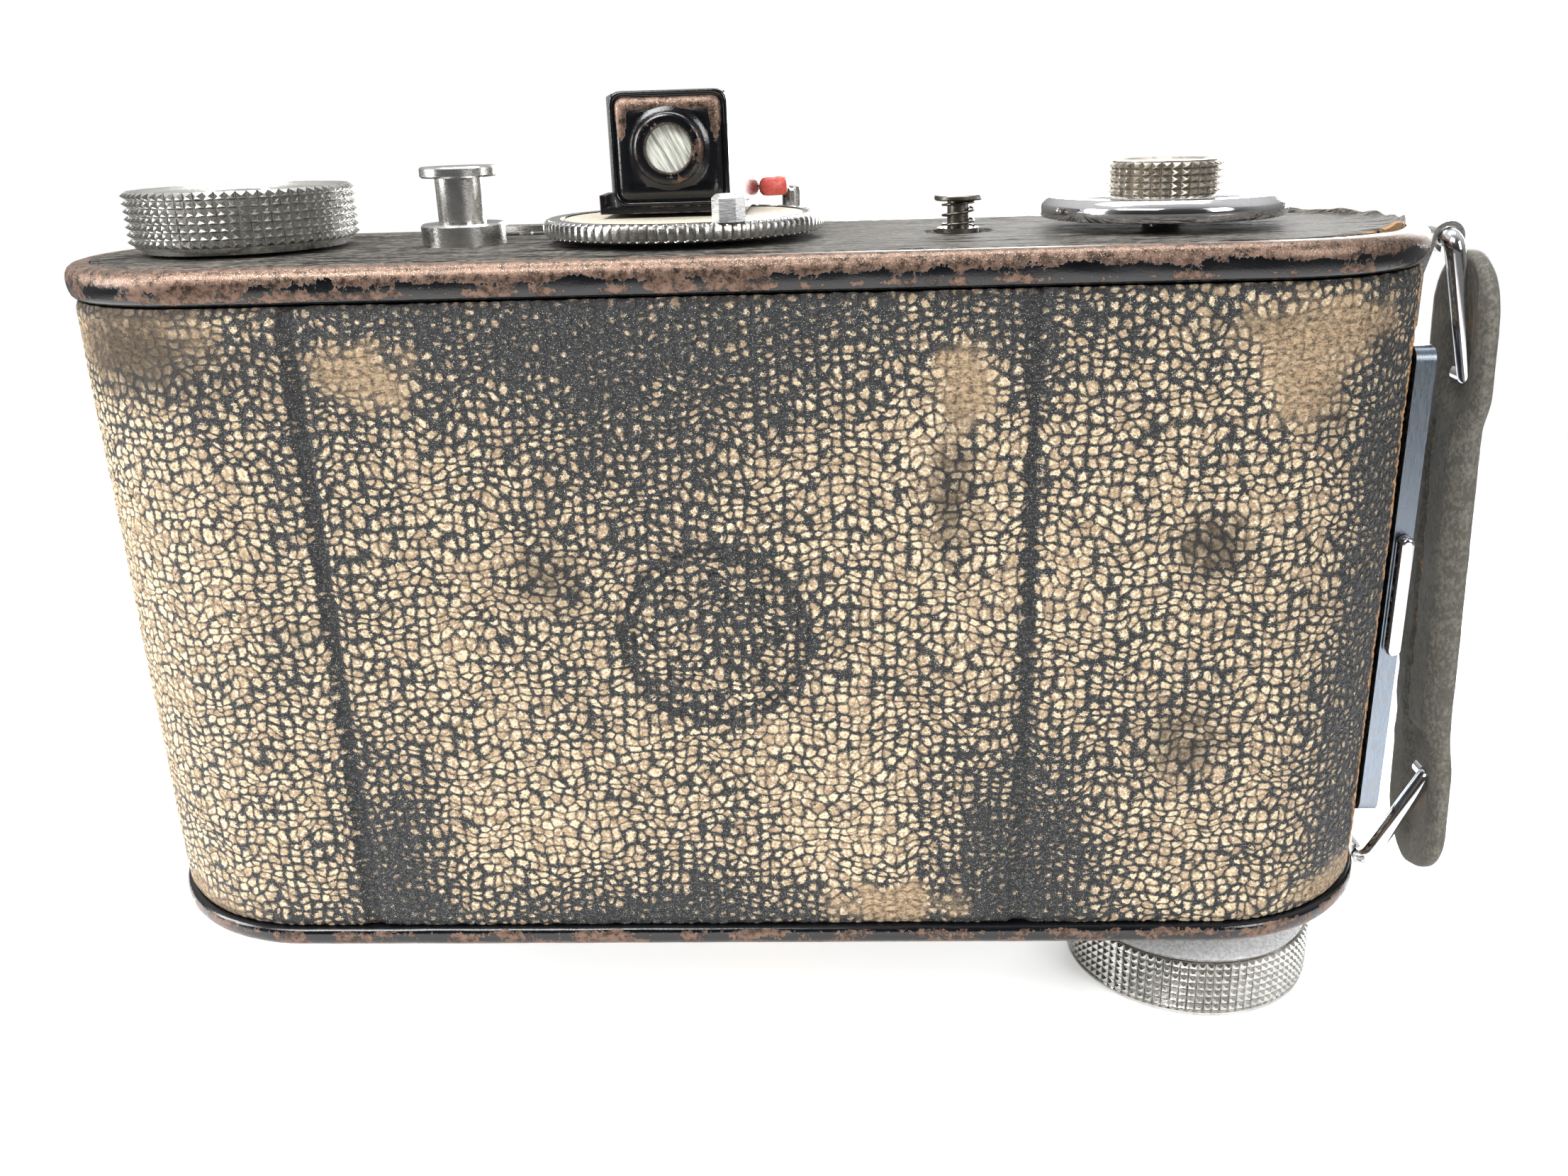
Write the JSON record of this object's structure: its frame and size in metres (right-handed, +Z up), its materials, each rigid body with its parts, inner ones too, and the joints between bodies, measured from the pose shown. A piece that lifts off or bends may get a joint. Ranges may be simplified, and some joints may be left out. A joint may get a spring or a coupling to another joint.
{
  "type": "folding strut camera",
  "caption": "Folding 35 mm camera with leather-covered stadium body, strut-borne lens standard, optical finder, knurled knobs and a side carrying strap.",
  "frame": {"origin": "mouth of the tripod bush, in the middle of the base", "axes": "+X towards the carrying strap, +Y out of the lens, +Z up"},
  "size_m": [0.1406, 0.0509, 0.0947],
  "materials": {
    "black_enamel": "glossy black enamel, chipped to brass along the edges",
    "nickel": "nickel plate, dull in the knurls",
    "steel": "brushed steel",
    "brass": "machined brass",
    "grained_leather": "pebbled black leather worn tan on the tops of its grain",
    "top_leather": "thin dark grained leather",
    "strap_leather": "worn dark strap leather",
    "bellows_cloth": "thin black bellows leather",
    "glass": "clear glass",
    "red_signal": "salmon red enamel on a nickel arm"
  },
  "bodies": {
    "root": {"chassis": "black_enamel", "base_deck": "black_enamel", "front_shell": "black_enamel", "front_leather": "grained_leather", "opening_trim": "nickel", "top_cap": "black_enamel", "top_leather": "top_leather", "bottom_cap": "black_enamel", "bottom_leather": "top_leather", "tripod_bush": "steel", "strut_brackets": "steel", "bellows": "bellows_cloth", "hinge_pin": "steel", "release_collar": "nickel", "release_spring": "steel", "transport_bush": "nickel", "transport_spring": "steel", "finder_housing": "black_enamel", "finder_rear_cap": "black_enamel", "eyepiece_ring": "black_enamel", "finder_lenses": "glass", "finder_foot": "black_enamel", "side_plate": "steel", "strap_lugs": "nickel"},
    "back_door": {"back_cover": "black_enamel", "back_leather": "grained_leather", "pressure_plate": "steel", "leaf_springs": "steel"},
    "advance": {"advance_knob": "nickel", "advance_shaft": "steel", "advance_gear": "brass", "takeup_spool": "steel"},
    "sprocket": {"sprocket_roller": "steel", "sprocket_gear": "brass"},
    "rewind": {"rewind_knob": "nickel", "rewind_shaft": "steel"},
    "counter": {"counter_dial": "nickel", "counter_pin": "nickel"},
    "release": {"release_button": "nickel"},
    "transport": {"transport_button": "nickel"},
    "scale": {"scale_disc": "nickel", "scale_grip": "nickel"},
    "catch": {"front_catch": "black_enamel"},
    "pointer": {"signal_pointer": "red_signal"},
    "latch": {"latch_slider": "nickel"},
    "upper_link": {"link_top": "nickel"},
    "lower_link": {"link_bottom": "nickel"},
    "carrying_strap": {"strap": "strap_leather"},
    "standard": {"standard_plate": "black_enamel", "shutter_housing": "black_enamel", "lens_barrel": "brass", "front_bezel": "nickel", "lens_elements": "glass"},
    "struts_on_body": {"outer_struts": "steel"},
    "struts_on_standard": {"inner_struts": "steel"},
    "focus": {"focus_ring": "black_enamel"},
    "speed": {"speed_ring": "nickel"},
    "aperture": {"aperture_ring": "nickel"},
    "cocking": {"cocking_lever": "nickel"},
    "shutter_release": {"release_lever": "nickel"}
  },
  "joints": [
    {"name": "back_cover_open", "type": "hinge", "parent": "root", "child": "back_door", "pos_m": [-0.0637, 0.0052, 0.034], "axis": [0, 0, -1], "range_deg": [0, 110]},
    {"name": "advance_knob_turn", "type": "hinge", "parent": "root", "child": "advance", "pos_m": [-0.0487, 0, 0.06], "axis": [0, 0, 1], "continuous": true},
    {"name": "sprocket_turn", "type": "hinge", "parent": "root", "child": "sprocket", "pos_m": [-0.0341, -0.00871, 0.034], "axis": [0, 0, 1], "continuous": true},
    {"name": "rewind_knob_turn", "type": "hinge", "parent": "root", "child": "rewind", "pos_m": [0.0483, 0, 0], "axis": [0, 0, 1], "continuous": true},
    {"name": "counter_dial_turn", "type": "hinge", "parent": "root", "child": "counter", "pos_m": [-0.0052, 0, 0.069], "axis": [0, 0, 1], "range_deg": [-140, 80]},
    {"name": "scale_disc_turn", "type": "hinge", "parent": "root", "child": "scale", "pos_m": [0.04075, 0, 0.069], "axis": [0, 0, 1], "continuous": true},
    {"name": "release_press", "type": "slide", "parent": "root", "child": "release", "axis": [0, 0, -1], "range_m": [0, 0.0024], "stiffness_N_per_m": 400, "springref_m": -0.002, "deforming": ["release_spring"]},
    {"name": "transport_release_press", "type": "slide", "parent": "root", "child": "transport", "axis": [0, 0, -1], "range_m": [0, 0.0015], "stiffness_N_per_m": 300, "springref_m": -0.002, "deforming": ["transport_spring"]},
    {"name": "front_catch_slide", "type": "slide", "parent": "root", "child": "catch", "axis": [-1, 0, 0], "range_m": [0, 0.002], "stiffness_N_per_m": 200, "springref_m": -0.001},
    {"name": "signal_pointer_swing", "type": "hinge", "parent": "root", "child": "pointer", "pos_m": [0.0048, 0.0146, 0.07], "axis": [0, 0, 1], "range_deg": [0, 22]},
    {"name": "back_latch_slide", "type": "slide", "parent": "root", "child": "latch", "axis": [0, 0, 1], "range_m": [0, 0.003]},
    {"name": "strap_pull_out", "type": "slide", "parent": "root", "child": "carrying_strap", "axis": [1, 0, 0], "range_m": [0, 0.004]},
    {"name": "upper_link_swing", "type": "hinge", "parent": "root", "child": "upper_link", "pos_m": [0.0677, 0, 0.0663], "axis": [0, 1, 0], "range_deg": [-20, 1]},
    {"name": "lower_link_swing", "type": "hinge", "parent": "root", "child": "lower_link", "pos_m": [0.06695, 0, -0.0007], "axis": [0, 1, 0], "range_deg": [-1, 30]},
    {"name": "standard_slide", "type": "slide", "parent": "root", "child": "standard", "axis": [0, 1, 0], "range_m": [0, 0.015], "deforming": ["bellows"]},
    {"name": "body_strut_spread", "type": "hinge", "parent": "root", "child": "struts_on_body", "pos_m": [-0.0059, 0.006, 0.01], "axis": [1, 0, 0], "range_deg": [-19.5, 0.5]},
    {"name": "standard_strut_spread", "type": "hinge", "parent": "standard", "child": "struts_on_standard", "pos_m": [-0.0059, 0.011, 0.01], "axis": [1, 0, 0], "range_deg": [-0.5, 19.5]},
    {"name": "focus_ring_turn", "type": "hinge", "parent": "standard", "child": "focus", "pos_m": [-0.0059, 0.028, 0.034], "axis": [0, 1, 0], "range_deg": [0, 270]},
    {"name": "speed_ring_turn", "type": "hinge", "parent": "standard", "child": "speed", "pos_m": [-0.0059, 0.0256, 0.034], "axis": [0, 1, 0], "range_deg": [0, 150]},
    {"name": "aperture_ring_turn", "type": "hinge", "parent": "standard", "child": "aperture", "pos_m": [-0.0059, 0.019, 0.034], "axis": [0, 1, 0], "range_deg": [-60, 0]},
    {"name": "cocking_lever_swing", "type": "hinge", "parent": "standard", "child": "cocking", "pos_m": [0.00345, 0.0252, 0.05019], "axis": [0, 1, 0], "range_deg": [0, 35], "stiffness_Nm_per_rad": 0.002, "springref_deg": -11.46},
    {"name": "release_lever_swing", "type": "hinge", "parent": "standard", "child": "shutter_release", "pos_m": [-0.01792, 0.0252, 0.04832], "axis": [0, 1, 0], "range_deg": [0, 12], "stiffness_Nm_per_rad": 0.002, "springref_deg": -11.46}
  ],
  "couplings": [
    {"joint": "sprocket_turn", "follows": "advance_knob_turn", "ratio": -1.2667},
    {"joint": "upper_link_swing", "follows": "strap_pull_out", "rad_per_m": -82.745},
    {"joint": "lower_link_swing", "follows": "strap_pull_out", "rad_per_m": 126.31},
    {"joint": "body_strut_spread", "follows": "standard_slide", "rad_per_m": -22.198},
    {"joint": "standard_strut_spread", "follows": "standard_slide", "rad_per_m": 22.198}
  ]
}
